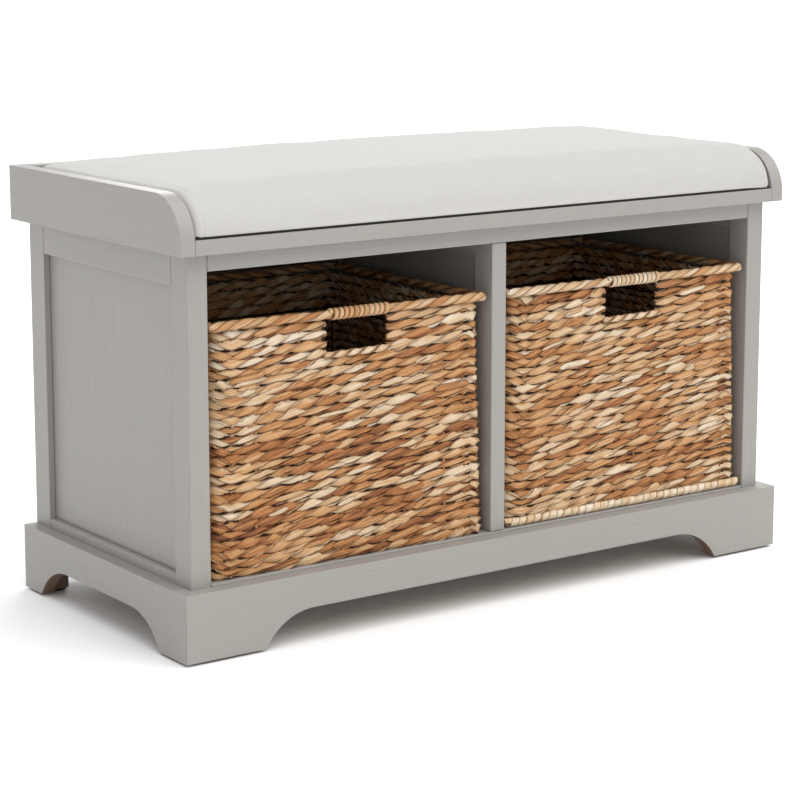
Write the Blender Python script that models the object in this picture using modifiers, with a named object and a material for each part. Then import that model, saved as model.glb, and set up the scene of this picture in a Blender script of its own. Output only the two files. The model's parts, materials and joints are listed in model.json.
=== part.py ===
"""Entryway storage bench: a painted carcass on a bracket-foot plinth, a tray seat with a
lift-off cushion, and two woven baskets that slide out to the front.

Metres, +Z up. The front faces -Y, the floor is z = 0 and the bench is centred on x = y = 0.
"""
import bpy
import bmesh
from math import acos, cos, pi, sin
from mathutils import Vector

# ---------------------------------------------------------------- driving dimensions
GAP = 0.0003                  # between pieces that touch

WIDTH = 0.840                 # over the plinth and over the tray rails
BODY_WIDTH = 0.808
FRONT = -0.191                # front of the plinth and of the tray
TRAY_BACK = 0.191
BODY_FRONT = -0.175
BODY_BACK = 0.177

GLIDE_HEIGHT = 0.003
GLIDE_RADIUS = 0.013
GLIDE_X = 0.392
GLIDE_FRONT_Y = -0.169
GLIDE_REAR_Y = 0.158
GLIDE_EDGE = 0.0006
PLINTH_TOP = 0.077
PLINTH_BOARD = 0.0157         # thickness, which is the ledge round the body
ARCH_HEIGHT = 0.036
ARCH_RADIUS = 0.070
FRONT_FOOT = 0.098            # length of a foot along the front board
SIDE_FRONT_FOOT = 0.057       # length of the front foot along a side board
SIDE_REAR_FOOT = 0.040

FLOOR_TOP = 0.080             # the bottom board
FLOOR_BOARD = 0.015
CLEAT = 0.015                 # thickness of the square cleats under the bottom board
CLEAT_REACH = 0.140           # half their length
OPENING_TOP = 0.4115
BODY_TOP = 0.431
SEAT_BOARD = 0.016
RAIL_TOP = 0.493
RAIL_THICKNESS = 0.0177
RAIL_ARC = 0.050
RAIL_EDGE = 0.002             # rounding of the tray rails' edges

SCREW_X = 0.3925
SCREW_FRONT_Y = -0.159
SCREW_REAR_Y = 0.160
SCREW_HEAD = 0.0042           # radius
SCREW_SHANK = 0.0020          # radius
SCREW_CONE = 0.0026           # depth of the countersunk head
SCREW_THREAD = 0.034          # depth where the point begins
SCREW_LENGTH = 0.037
SCREW_SUNK = 0.0004           # depth of the head below the seat's face
SCREW_HOLE_DEPTH = 0.038
SCREW_HOLE_RISE = 0.010       # the hole's cutter starts this far above the head

FRONT_POST = 0.0245           # width seen from the front
FRONT_POST_DEPTH = 0.032
REAR_POST = 0.022
REAR_POST_DEPTH = 0.034
CENTRE_POST = 0.020
CENTRE_POST_DEPTH = 0.033
DIVIDER_REAR_Y = 0.130        # front face of the divider's rear post
DIVIDER_LOW_RAIL = 0.016
DIVIDER_PANEL_LIFT = 0.010    # from the bottom board to the divider panel
FACE_RAIL_DEPTH = 0.018
FRAME_RAIL_LOW = 0.3955       # underside of the side and divider top rails
LOW_RAIL_TOP = 0.088
LOW_RAIL_BOTTOM = 0.040       # just above the plinth's arches

PANEL = 0.008
PANEL_RECESS = 0.008          # of the side panels behind the face of their frame
PANEL_TONGUE = 0.006          # depth that a panel enters its grooves
GROOVE_SLACK = 0.0018         # room left at the bottom of a groove
BACK_RAIL_DEPTH = 0.0197
BACK_PANEL_Y = 0.163
BACK_PANEL = 0.005

CUSHION_TOP = 0.502
CUSHION_ARC = 0.053
CUSHION_SIDE_GAP = 0.0008
CUSHION_BASE = 0.003
CUSHION_LIFT = 0.0006         # clearance under the cushion
CUSHION_INSET = 0.001         # from the tray's front edge and back rail to the pad
CUSHION_REAR_ARC = 0.022
CUSHION_EDGE = 0.0015
BASE_INSET = 0.002            # from the pad's ends and back to its base
BASE_FRONT_INSET = 0.001
BASE_EDGE = 0.0008

BASKET_X = 0.195              # centre of each basket
BASKET_BOTTOM = (0.181, 0.150)   # half width and half depth at the floor
BASKET_TOP = (0.174, 0.147)      # the same at the top of the weave
BASKET_Y = -0.021
BASKET_LOW = FLOOR_TOP + GAP
WEAVE_TOP = 0.3457
WEAVE = 0.008
RIM_RADIUS = 0.0055
HANDLE_HALF = 0.038
HANDLE_SHIFT = 0.0075         # from the middle of the basket towards +X
HANDLE_LOW = 0.309
BASKET_CORNER = 0.014
RIM_OVERHANG = 0.006          # of the rim's outer side beyond the weave
RIM_CORNER = 0.012
WIRE = 0.003
WIRE_TOP = 0.303
WIRE_INSET = 0.003            # clearance between the wires and the weave
WIRE_LIFT = 0.004             # from the weave's floor to the lowest wires
UPRIGHT_OFFSET = 0.008        # of the front uprights beside the handle hole
CUTTER_REACH = 0.3            # long enough to pass through both walls of a basket
CUTTER_RISE = 0.02

SOFT_EDGE = 0.0012            # rounding of the boards' edges
TURNED_SIDES = 20             # flats round a turned piece


# ---------------------------------------------------------------- scene and collections
for old in list(bpy.data.objects):
    bpy.data.objects.remove(old, do_unlink=True)


def new_collection(name):
    collection = bpy.data.collections.new(name)
    bpy.context.scene.collection.children.link(collection)
    return collection


parts = new_collection("entryway_bench")
cutters = new_collection("cutters")


def place_in(obj, collection):
    for holder in list(obj.users_collection):
        holder.objects.unlink(obj)
    collection.objects.link(obj)


# ---------------------------------------------------------------- materials
def linear(channel):
    return channel / 12.92 if channel <= 0.04045 else ((channel + 0.055) / 1.055) ** 2.4


def finish(name, hex_code, roughness, metallic=0.0):
    material = bpy.data.materials.new(name)
    material.use_nodes = True
    shader = material.node_tree.nodes["Principled BSDF"]
    colour = [linear(int(hex_code[i:i + 2], 16) / 255) for i in (0, 2, 4)]
    shader.inputs["Base Color"].default_value = (*colour, 1.0)
    shader.inputs["Roughness"].default_value = roughness
    shader.inputs["Metallic"].default_value = metallic
    material.diffuse_color = (*colour, 1.0)
    return material


GREY_PAINT = finish("grey satin paint", "B4B0A9", 0.5)
BARE_WOOD = finish("bare pine", "C2A582", 0.7)
LINEN = finish("off-white linen", "E1DFDA", 0.95)
DUST_CLOTH = finish("black dust cloth", "1C1B1A", 0.9)
LEAF_WEAVE = finish("woven water hyacinth", "C79A68", 0.85)
LEAF_WRAP = finish("wrapped water hyacinth", "DDC2A0", 0.8)
STEEL_WIRE = finish("dark steel wire", "3A3733", 0.45, 0.9)
ZINC = finish("zinc-plated steel", "B9BBBC", 0.35, 1.0)
GLIDE_PLASTIC = finish("dark brown plastic", "2B2420", 0.6)


# ---------------------------------------------------------------- modelling helpers
def soften(obj, width=SOFT_EDGE):
    bevel = obj.modifiers.new("soft edges", "BEVEL")
    bevel.width = width
    bevel.segments = 2
    bevel.limit_method = "ANGLE"
    return obj


def block(name, low, high, material=None, edge=SOFT_EDGE):
    """A board or rail between two corners, given in metres."""
    low, high = Vector(low), Vector(high)
    bpy.ops.mesh.primitive_cube_add(size=1.0, location=(low + high) / 2)
    obj = bpy.context.object
    obj.name = name
    obj.scale = high - low
    bpy.ops.object.transform_apply(location=False, rotation=False, scale=True)
    if material is None:
        obj.display_type = "WIRE"
        obj.hide_render = True
        place_in(obj, cutters)
        return obj
    obj.data.materials.append(material)
    place_in(obj, parts)
    return soften(obj, edge) if edge else obj


def cut(obj, *tools):
    """Takes the tools' shapes out of a piece, before its edges are rounded."""
    for tool in tools:
        boolean = obj.modifiers.new("cut " + tool.name, "BOOLEAN")
        boolean.operation = "DIFFERENCE"
        boolean.object = tool
        obj.modifiers.move(len(obj.modifiers) - 1, len(obj.modifiers) - 2)
    return obj


def arc(centre, radius, start, end, steps=10):
    """Points on a circle, from one angle to another."""
    turns = [start + (end - start) * i / steps for i in range(steps + 1)]
    return [(centre[0] + radius * cos(a), centre[1] + radius * sin(a)) for a in turns]


def sawn_board(name, outline, thickness, location, rotation, material):
    """A board sawn to an outline, which is drawn in the curve's own flat plane."""
    curve = bpy.data.curves.new(name, "CURVE")
    curve.dimensions = "2D"
    curve.fill_mode = "BOTH"
    curve.extrude = thickness / 2
    spline = curve.splines.new("POLY")
    spline.points.add(len(outline) - 1)
    for point, (u, v) in zip(spline.points, outline):
        point.co = (u, v, 0.0, 1.0)
    spline.use_cyclic_u = True
    drawing = bpy.data.objects.new(name + "_outline", curve)
    drawing.location = location
    drawing.rotation_euler = rotation
    bpy.context.scene.collection.objects.link(drawing)
    return curve_to_mesh(drawing, name, material)


def curve_to_mesh(drawing, name, material):
    """Turns a curve object into a welded mesh piece at the same place."""
    bpy.context.view_layer.update()
    evaluated = drawing.evaluated_get(bpy.context.evaluated_depsgraph_get())
    mesh = bpy.data.meshes.new_from_object(evaluated)
    form = bmesh.new()
    form.from_mesh(mesh)
    bmesh.ops.remove_doubles(form, verts=form.verts, dist=0.00001)
    bmesh.ops.recalc_face_normals(form, faces=form.faces)
    form.to_mesh(mesh)
    form.free()
    obj = bpy.data.objects.new(name, mesh)
    obj.matrix_world = drawing.matrix_world
    bpy.data.objects.remove(drawing, do_unlink=True)
    mesh.materials.clear()
    mesh.materials.append(material)
    parts.objects.link(obj)
    return obj


STANDING_ACROSS = (pi / 2, 0.0, 0.0)      # outline x, y become world x, z
STANDING_ALONG = (pi / 2, 0.0, pi / 2)    # outline x, y become world y, z


def mitre(obj, point, outward):
    """Saws a piece off along a vertical plane and closes the cut."""
    form = bmesh.new()
    form.from_mesh(obj.data)
    to_local = obj.matrix_world.inverted()
    local_point = to_local @ Vector(point)
    local_normal = to_local.to_3x3() @ Vector(outward).normalized()
    everything = form.verts[:] + form.edges[:] + form.faces[:]
    sawn = bmesh.ops.bisect_plane(form, geom=everything, plane_co=local_point,
                                  plane_no=local_normal, clear_outer=True, dist=0.000001)
    rim = [item for item in sawn["geom_cut"] if isinstance(item, bmesh.types.BMEdge)]
    bmesh.ops.holes_fill(form, edges=rim, sides=0)
    bmesh.ops.recalc_face_normals(form, faces=form.faces)
    form.to_mesh(obj.data)
    form.free()
    return obj


SIDES = (("left", -1), ("right", 1))


def mirrored(side, low, high):
    """A block's corners on the right side (+1), or the same mirrored to the left (-1)."""
    if side > 0:
        return low, high
    return (-high[0], low[1], low[2]), (-low[0], high[1], high[2])


# ---------------------------------------------------------------- plinth
def arched_outline(start, end, first_foot, last_foot):
    """A plinth board from start to end, with a foot at each end and a low arch between."""
    rise = ARCH_RADIUS - ARCH_HEIGHT
    run = (ARCH_RADIUS ** 2 - rise ** 2) ** 0.5
    spring = acos(run / ARCH_RADIUS)
    centre_z = GLIDE_HEIGHT - rise
    first = (start + first_foot + run, centre_z)
    last = (end - last_foot - run, centre_z)
    outline = [(start, GLIDE_HEIGHT)]
    outline += arc(first, ARCH_RADIUS, pi - spring, pi / 2)
    outline += arc(last, ARCH_RADIUS, pi / 2, spring)
    outline += [(end, GLIDE_HEIGHT), (end, PLINTH_TOP), (start, PLINTH_TOP)]
    return outline


def make_plinth():
    half = WIDTH / 2
    middle_y = FRONT + PLINTH_BOARD / 2
    front = sawn_board("plinth_front", arched_outline(-half, half, FRONT_FOOT, FRONT_FOOT),
                       PLINTH_BOARD, (0, middle_y, 0), STANDING_ACROSS, GREY_PAINT)
    for side in (-1, 1):
        mitre(front, (side * (half - GAP / 2), FRONT, 0), (side, 1, 0))
    soften(front)
    outline = arched_outline(FRONT, BODY_BACK, SIDE_FRONT_FOOT, SIDE_REAR_FOOT)
    for name, side in SIDES:
        middle_x = side * (half - PLINTH_BOARD / 2)
        board = sawn_board("plinth_" + name, outline, PLINTH_BOARD, (middle_x, 0, 0),
                           STANDING_ALONG, GREY_PAINT)
        mitre(board, (side * half, FRONT + GAP / 2, 0), (-side, -1, 0))
        soften(board)


def make_glides():
    for name, side in SIDES:
        for end, y in (("front", GLIDE_FRONT_Y), ("rear", GLIDE_REAR_Y)):
            bpy.ops.mesh.primitive_cylinder_add(vertices=32, radius=GLIDE_RADIUS,
                                                depth=GLIDE_HEIGHT - GAP)
            glide = bpy.context.object
            glide.name = "glide_" + end + "_" + name
            glide.location = (side * GLIDE_X, y, (GLIDE_HEIGHT - GAP) / 2)
            glide.data.materials.append(GLIDE_PLASTIC)
            place_in(glide, parts)
            soften(glide, GLIDE_EDGE)


# ---------------------------------------------------------------- carcass
def make_posts_and_side_frames():
    half = BODY_WIDTH / 2
    post_back = BODY_FRONT + FRONT_POST_DEPTH
    rear_front = BODY_BACK - REAR_POST_DEPTH
    panel_outer = half - PANEL_RECESS
    panel_inner = panel_outer - PANEL
    tongue = PANEL_TONGUE
    panel_front, panel_back = post_back - tongue, rear_front + tongue
    panel_low, panel_high = LOW_RAIL_TOP - tongue, FRAME_RAIL_LOW + tongue
    groove_reach = half - REAR_POST + tongue + GROOVE_SLACK
    back_groove = block("back_groove", (-groove_reach, BACK_PANEL_Y - GAP,
                                        FLOOR_TOP - tongue - GROOVE_SLACK),
                        (groove_reach, BACK_PANEL_Y + BACK_PANEL + GAP,
                         FRAME_RAIL_LOW + tongue + GROOVE_SLACK))
    for name, side in SIDES:
        low, high = mirrored(side, (panel_inner, panel_front, panel_low),
                             (panel_outer, panel_back, panel_high))
        block("side_panel_" + name, low, high, GREY_PAINT, 0.0)
        clear = Vector((GAP, GROOVE_SLACK, GROOVE_SLACK))
        groove = block("side_groove_" + name, Vector(low) - clear, Vector(high) + clear)

        front_post = block("front_post_" + name, *mirrored(
            side, (half - FRONT_POST, BODY_FRONT, GLIDE_HEIGHT), (half, post_back, BODY_TOP)),
            GREY_PAINT)
        rear_post = block("rear_post_" + name, *mirrored(
            side, (half - REAR_POST, rear_front, GLIDE_HEIGHT), (half, BODY_BACK, BODY_TOP)),
            GREY_PAINT)
        top_rail = block("side_top_rail_" + name, *mirrored(
            side, (half - REAR_POST, post_back + GAP, FRAME_RAIL_LOW),
            (half, rear_front - GAP, BODY_TOP)), GREY_PAINT)
        low_rail = block("side_bottom_rail_" + name, *mirrored(
            side, (half - REAR_POST, post_back + GAP, LOW_RAIL_BOTTOM),
            (half, rear_front - GAP, LOW_RAIL_TOP)), GREY_PAINT)
        for piece in (front_post, top_rail, low_rail):
            cut(piece, groove)
        cut(rear_post, groove, back_groove)
    return back_groove


def make_face_and_back(back_groove):
    inner = BODY_WIDTH / 2 - FRONT_POST - GAP
    face_back = BODY_FRONT + FACE_RAIL_DEPTH
    block("face_top_rail", (-inner, BODY_FRONT, OPENING_TOP),
          (inner, face_back, BODY_TOP), GREY_PAINT)
    block("front_bottom_rail", (-inner, BODY_FRONT, LOW_RAIL_BOTTOM),
          (inner, face_back, FLOOR_TOP - FLOOR_BOARD - GAP), BARE_WOOD)

    inner = BODY_WIDTH / 2 - REAR_POST - GAP
    rear_front = BODY_BACK - BACK_RAIL_DEPTH
    for name, low, high in (("back_top_rail", FRAME_RAIL_LOW, BODY_TOP),
                            ("back_bottom_rail", LOW_RAIL_BOTTOM, FLOOR_TOP)):
        rail = block(name, (-inner, rear_front, low), (inner, BODY_BACK, high), GREY_PAINT)
        cut(rail, back_groove)
    reach = inner + PANEL_TONGUE
    block("back_panel", (-reach, BACK_PANEL_Y, FLOOR_TOP - PANEL_TONGUE),
          (reach, BACK_PANEL_Y + BACK_PANEL, FRAME_RAIL_LOW + PANEL_TONGUE), GREY_PAINT, 0.0)


def make_bottom():
    inner = BODY_WIDTH / 2 - FRONT_POST - GAP
    rear = BODY_BACK - BACK_RAIL_DEPTH - GAP
    underside = FLOOR_TOP - FLOOR_BOARD
    block("bottom_board", (-inner, BODY_FRONT, underside),
          (inner, rear, FLOOR_TOP), GREY_PAINT)
    for name, side in SIDES:
        low, high = mirrored(side, (inner - CLEAT, -CLEAT_REACH, underside - CLEAT),
                             (inner, CLEAT_REACH, underside - GAP))
        block("floor_cleat_" + name, low, high, BARE_WOOD)


def make_divider():
    half = CENTRE_POST / 2
    post_back = BODY_FRONT + CENTRE_POST_DEPTH
    rear_front, rear_back = DIVIDER_REAR_Y, BODY_BACK - BACK_RAIL_DEPTH - GAP
    low = FLOOR_TOP + GAP
    under_rail = OPENING_TOP - GAP
    panel_low, panel_high = low + DIVIDER_PANEL_LIFT, FRAME_RAIL_LOW + PANEL_TONGUE
    panel_front, panel_back = post_back - PANEL_TONGUE, rear_front + PANEL_TONGUE
    block("divider_panel", (-PANEL / 2, panel_front, panel_low),
          (PANEL / 2, panel_back, panel_high), GREY_PAINT, 0.0)
    clear = Vector((GAP, GROOVE_SLACK, GROOVE_SLACK))
    groove = block("divider_groove", Vector((-PANEL / 2, panel_front, panel_low)) - clear,
                   Vector((PANEL / 2, panel_back, panel_high)) + clear)
    front = block("divider_front_post", (-half, BODY_FRONT, low),
                  (half, post_back, under_rail), GREY_PAINT)
    rear = block("divider_rear_post", (-half, rear_front, low),
                 (half, rear_back, BODY_TOP - GAP), GREY_PAINT)
    top = block("divider_top_rail", (-half, post_back + GAP, FRAME_RAIL_LOW),
                (half, rear_front - GAP, BODY_TOP - GAP), GREY_PAINT)
    bottom = block("divider_bottom_rail", (-half, post_back + GAP, low),
                   (half, rear_front - GAP, low + DIVIDER_LOW_RAIL), GREY_PAINT)
    for piece in (front, rear, top, bottom):
        cut(piece, groove)


# ---------------------------------------------------------------- seat tray
def rail_outline():
    """The side of a tray rail, with its arched front top corner."""
    centre = (FRONT + RAIL_ARC, RAIL_TOP - RAIL_ARC)
    low = BODY_TOP + GAP
    return ([(FRONT, low), (TRAY_BACK, low), (TRAY_BACK, RAIL_TOP)]
            + arc(centre, RAIL_ARC, pi / 2, pi, 14))


def make_seat_tray():
    low = BODY_TOP + GAP
    inner = WIDTH / 2 - RAIL_THICKNESS - GAP
    for name, side in SIDES:
        middle_x = side * (WIDTH / 2 - RAIL_THICKNESS / 2)
        rail = sawn_board("tray_rail_" + name, rail_outline(), RAIL_THICKNESS, (middle_x, 0, 0),
                          STANDING_ALONG, GREY_PAINT)
        soften(rail, RAIL_EDGE)
    back = TRAY_BACK - RAIL_THICKNESS
    block("tray_rail_back", (-inner, back, low), (inner, TRAY_BACK, RAIL_TOP), GREY_PAINT)
    seat = block("seat_board", (-inner, FRONT, low),
                 (inner, back - GAP, low + SEAT_BOARD), GREY_PAINT)
    make_seat_screws(seat)


def turned_piece(name, profile, location):
    """A turned piece: its half profile, from axis to axis, swept round Z."""
    mesh = bpy.data.meshes.new(name)
    form = bmesh.new()
    points = [form.verts.new((r, 0.0, z)) for r, z in profile]
    for first, second in zip(points, points[1:]):
        form.edges.new((first, second))
    form.to_mesh(mesh)
    form.free()
    obj = bpy.data.objects.new(name, mesh)
    obj.location = location
    turn = obj.modifiers.new("turned", "SCREW")
    turn.axis = "Z"
    turn.steps = turn.render_steps = TURNED_SIDES
    turn.use_merge_vertices = True
    turn.merge_threshold = 0.00001
    return obj


def make_seat_screws(seat):
    """Countersunk screws through the seat board into the tops of the posts."""
    top = BODY_TOP + GAP + SEAT_BOARD - SCREW_SUNK
    # each profile runs down its outer side, so that the turned skin faces outwards
    screw_profile = [(0, 0), (SCREW_HEAD, 0), (SCREW_SHANK, -SCREW_CONE),
                     (SCREW_SHANK, -SCREW_THREAD), (0, -SCREW_LENGTH)]
    hole_head, hole_shank = SCREW_HEAD + GAP, SCREW_SHANK + GAP
    hole_profile = [(0, SCREW_HOLE_RISE), (hole_head, SCREW_HOLE_RISE), (hole_head, 0),
                    (hole_shank, -SCREW_CONE), (hole_shank, -SCREW_HOLE_DEPTH),
                    (0, -SCREW_HOLE_DEPTH)]
    for name, side in SIDES:
        for end, y in (("front", SCREW_FRONT_Y), ("rear", SCREW_REAR_Y)):
            place = (side * SCREW_X, y, top)
            screw = turned_piece("seat_screw_" + end + "_" + name, screw_profile, place)
            screw.data.materials.append(ZINC)
            parts.objects.link(screw)
            tool = turned_piece("screw_hole_" + end + "_" + name, hole_profile, place)
            cutters.objects.link(tool)
            tool.display_type = "WIRE"
            tool.hide_render = True
            cut(seat, tool)
            cut(parts.objects[end + "_post_" + name], tool)


# ---------------------------------------------------------------- cushion
def make_cushion():
    """A plain solid of the pad, and the thin board with dust cloth that it is stretched over."""
    base_low = BODY_TOP + GAP + SEAT_BOARD + CUSHION_LIFT
    pad_low = base_low + CUSHION_BASE + GAP
    front, back = FRONT + CUSHION_INSET, TRAY_BACK - RAIL_THICKNESS - CUSHION_INSET
    half = WIDTH / 2 - RAIL_THICKNESS - CUSHION_SIDE_GAP
    holder = bpy.data.objects.new("cushion_lift", None)
    holder.location = (0, 0, base_low)
    parts.objects.link(holder)
    bpy.context.view_layer.update()

    rear_centre = (back - CUSHION_REAR_ARC, CUSHION_TOP - CUSHION_REAR_ARC)
    front_centre = (front + CUSHION_ARC, CUSHION_TOP - CUSHION_ARC)
    outline = [(front, pad_low), (back, pad_low), (back, rear_centre[1])]
    outline += arc(rear_centre, CUSHION_REAR_ARC, 0, pi / 2, 6)[1:]
    outline += arc(front_centre, CUSHION_ARC, pi / 2, pi, 12)[:-1]
    pad = sawn_board("cushion_pad", outline, 2 * half, (0, 0, 0), STANDING_ALONG, LINEN)
    soften(pad, CUSHION_EDGE)
    base = block("cushion_base", (-half + BASE_INSET, front + BASE_FRONT_INSET, base_low),
                 (half - BASE_INSET, back - BASE_INSET, base_low + CUSHION_BASE),
                 DUST_CLOTH, BASE_EDGE)
    for piece in (pad, base):
        piece.parent = holder
        piece.matrix_parent_inverse = holder.matrix_world.inverted()


# ---------------------------------------------------------------- baskets
def half_size(height):
    """Half the width and half the depth of a basket's outside at a height."""
    share = (height - BASKET_LOW) / (WEAVE_TOP - BASKET_LOW)
    return tuple(low + (high - low) * share for low, high in zip(BASKET_BOTTOM, BASKET_TOP))


def open_box(name, x, low, high, inset, closed_floor):
    """Four slanting walls round a basket's centre, with a floor or without."""
    bpy.ops.mesh.primitive_cube_add(size=2.0, location=(x, BASKET_Y, (low + high) / 2))
    obj = bpy.context.object
    obj.name = name
    form = bmesh.new()
    form.from_mesh(obj.data)
    for vert in form.verts:
        height = high if vert.co.z > 0 else low
        half = half_size(height)
        vert.co.x *= half[0] - inset
        vert.co.y *= half[1] - inset
        vert.co.z *= (high - low) / 2
    lids = [face for face in form.faces
            if face.normal.z > 0.5 or (face.normal.z < -0.5 and not closed_floor)]
    bmesh.ops.delete(form, geom=lids, context="FACES")
    form.to_mesh(obj.data)
    form.free()
    place_in(obj, parts)
    return obj


def round_corners(obj, radius):
    """Rounds the four upright corners of an open box."""
    form = bmesh.new()
    form.from_mesh(obj.data)
    uprights = [edge for edge in form.edges if abs(edge.verts[0].co.z - edge.verts[1].co.z) > 0.05]
    bmesh.ops.bevel(form, geom=uprights, offset=radius, segments=4, profile=0.5, affect="EDGES")
    form.to_mesh(obj.data)
    form.free()


def rounded_loop(half_x, half_y, radius, steps=5):
    """Points round a rectangle with round corners."""
    loop = []
    for quarter, (sx, sy) in enumerate(((1, 1), (-1, 1), (-1, -1), (1, -1))):
        centre = (sx * (half_x - radius), sy * (half_y - radius))
        loop += arc(centre, radius, quarter * pi / 2, (quarter + 1) * pi / 2, steps)
    return loop


def make_basket(side_name, side):
    x = side * BASKET_X
    name = "basket_" + side_name
    holder = bpy.data.objects.new(name + "_slide", None)
    holder.location = (x, BASKET_Y - BASKET_BOTTOM[1], FLOOR_TOP)
    parts.objects.link(holder)
    bpy.context.view_layer.update()

    weave = open_box(name + "_weave", x, BASKET_LOW, WEAVE_TOP, 0.0, True)
    round_corners(weave, BASKET_CORNER)
    weave.data.materials.append(LEAF_WEAVE)
    wall = weave.modifiers.new("wall", "SOLIDIFY")
    wall.thickness = WEAVE
    wall.offset = -1.0
    wall.use_even_offset = True
    grip = x + HANDLE_SHIFT
    handle = block(name + "_handle", (grip - HANDLE_HALF, -CUTTER_REACH, HANDLE_LOW),
                   (grip + HANDLE_HALF, BASKET_Y, WEAVE_TOP + CUTTER_RISE))
    notch = weave.modifiers.new("handle hole", "BOOLEAN")
    notch.object = handle

    middle = WEAVE_TOP + GAP + RIM_RADIUS
    top = [size - RIM_RADIUS + RIM_OVERHANG for size in BASKET_TOP]
    rim_curve = bpy.data.curves.new(name + "_rim", "CURVE")
    rim_curve.dimensions = "3D"
    rim_curve.bevel_depth = RIM_RADIUS
    rim_curve.bevel_resolution = 3
    spline = rim_curve.splines.new("POLY")
    loop = rounded_loop(top[0], top[1], RIM_CORNER)
    spline.points.add(len(loop) - 1)
    for point, (u, v) in zip(spline.points, loop):
        point.co = (u, v, 0.0, 1.0)
    spline.use_cyclic_u = True
    drawing = bpy.data.objects.new(name + "_rim_path", rim_curve)
    drawing.location = (x, BASKET_Y, middle)
    bpy.context.scene.collection.objects.link(drawing)
    rim = curve_to_mesh(drawing, name + "_rim", LEAF_WRAP)

    cage_inset = WEAVE + WIRE / 2 + WIRE_INSET
    cage_low = BASKET_LOW + WEAVE + GAP + WIRE_LIFT
    cage = open_box(name + "_wire_frame", x, cage_low, WIRE_TOP, cage_inset, False)
    add_uprights(cage)
    cage.data.materials.append(STEEL_WIRE)
    wires = cage.modifiers.new("wires", "WIREFRAME")
    wires.thickness = WIRE
    wires.use_even_offset = False
    wires.use_boundary = True

    for piece in (weave, rim, cage):
        piece.parent = holder
        piece.matrix_parent_inverse = holder.matrix_world.inverted()


def add_uprights(cage):
    """Splits the cage's walls, so that wires also stand beside the handle hole."""
    form = bmesh.new()
    form.from_mesh(cage.data)
    upright = HANDLE_HALF + UPRIGHT_OFFSET
    for x in (HANDLE_SHIFT - upright, HANDLE_SHIFT + upright):
        everything = form.verts[:] + form.edges[:] + form.faces[:]
        bmesh.ops.bisect_plane(form, geom=everything, plane_co=(x, 0, 0), plane_no=(1, 0, 0))
    form.to_mesh(cage.data)
    form.free()


# ---------------------------------------------------------------- assembly
bpy.context.view_layer.active_layer_collection = bpy.context.view_layer.layer_collection
make_plinth()
make_glides()
make_face_and_back(make_posts_and_side_frames())
make_bottom()
make_divider()
make_seat_tray()
make_cushion()
for basket_side in SIDES:
    make_basket(*basket_side)
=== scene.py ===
# %% [markdown]
# # An entryway bench with two woven baskets
# The real bench is a painted wooden carcass on a bracket-foot plinth. A loose cushion lies in the
# tray on top, and two baskets of dried water hyacinth leaf slide out to the front.
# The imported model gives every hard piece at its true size, so this lesson keeps those pieces, gives
# them real finishes, and builds only the soft ones: the baskets' weave and the cushion.

# %% Load the frame
import json
from bisect import bisect_right
from math import cos, pi, radians, sin, tau
from random import Random

import bmesh
import bpy
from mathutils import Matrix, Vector, noise


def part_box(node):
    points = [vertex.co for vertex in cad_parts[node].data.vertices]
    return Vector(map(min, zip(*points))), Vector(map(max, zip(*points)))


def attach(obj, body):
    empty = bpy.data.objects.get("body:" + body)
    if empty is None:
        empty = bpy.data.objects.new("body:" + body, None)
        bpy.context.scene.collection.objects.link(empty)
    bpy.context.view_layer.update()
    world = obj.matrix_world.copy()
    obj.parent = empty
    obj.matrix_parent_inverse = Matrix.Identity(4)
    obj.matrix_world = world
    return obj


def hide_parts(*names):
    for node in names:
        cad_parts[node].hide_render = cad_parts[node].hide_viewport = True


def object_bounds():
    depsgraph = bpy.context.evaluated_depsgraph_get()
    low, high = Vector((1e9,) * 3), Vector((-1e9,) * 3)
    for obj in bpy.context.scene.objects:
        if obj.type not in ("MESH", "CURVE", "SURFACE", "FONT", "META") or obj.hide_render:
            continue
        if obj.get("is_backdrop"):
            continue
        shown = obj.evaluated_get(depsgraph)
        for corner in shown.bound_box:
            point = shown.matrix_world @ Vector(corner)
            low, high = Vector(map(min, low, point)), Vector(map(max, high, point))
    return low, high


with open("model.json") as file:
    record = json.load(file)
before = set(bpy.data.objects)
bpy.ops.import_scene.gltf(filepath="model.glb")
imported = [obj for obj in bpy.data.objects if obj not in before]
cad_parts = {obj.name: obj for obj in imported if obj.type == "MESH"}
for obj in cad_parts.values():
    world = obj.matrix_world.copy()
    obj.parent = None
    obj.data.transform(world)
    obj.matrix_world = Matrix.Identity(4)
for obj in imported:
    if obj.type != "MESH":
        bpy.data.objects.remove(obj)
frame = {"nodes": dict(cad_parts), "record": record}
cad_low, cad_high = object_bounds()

scene = bpy.context.scene
print("bench, in millimetres:", [round(1000 * size, 1) for size in cad_high - cad_low])

# %% [markdown]
# ## A camera
# The camera stands in front of the bench and to its left, at about chest height, and looks gently
# down. It is given by where it stands and by two angles. A small vertical shift keeps the bench's
# uprights nearly upright in the picture, which is what a shift lens does on a real camera.

# %% Camera
CAMERA_PLACE = (-1.6290, -2.2713, 0.7760)
CAMERA_TURN = 35.45             # degrees to the right of looking straight at the front
CAMERA_TILT = -9.67             # degrees, so it looks below the horizon
LENS = 107.8                    # in millimetres
SHIFT = -0.1
camera = bpy.data.cameras.new("camera")
camera.lens = LENS
camera.shift_y = SHIFT
viewpoint = bpy.data.objects.new("camera", camera)
viewpoint.location = CAMERA_PLACE
viewpoint.rotation_euler = (radians(90 + CAMERA_TILT), 0, -radians(CAMERA_TURN))
scene.collection.objects.link(viewpoint)
scene.camera = viewpoint
print("camera distance:", round((Vector(CAMERA_PLACE) - (cad_low + cad_high) / 2).length, 3), "m")

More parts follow.
